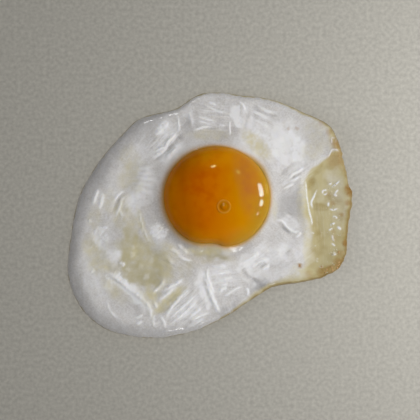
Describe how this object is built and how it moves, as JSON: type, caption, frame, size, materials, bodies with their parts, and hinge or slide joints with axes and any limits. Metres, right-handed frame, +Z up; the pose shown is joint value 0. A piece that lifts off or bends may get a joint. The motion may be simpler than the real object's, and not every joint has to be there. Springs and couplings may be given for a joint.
{
  "type": "fried egg",
  "caption": "Sunny-side-up fried egg: a soft domed yolk bedded in a thin, folded spread of set white with a thin browned edge on one side.",
  "frame": {"origin": "middle of the egg's plan, on the surface that the egg lies on", "axes": "+Z up out of the pan; +X runs the long way across the egg, towards its thin browned edge"},
  "size_m": [0.1116, 0.0962, 0.0159],
  "materials": {
    "egg_white": "gloss",
    "yolk": "gloss"
  },
  "bodies": {
    "root": {"egg_white": "egg_white", "yolk": "yolk"}
  },
  "joints": []
}
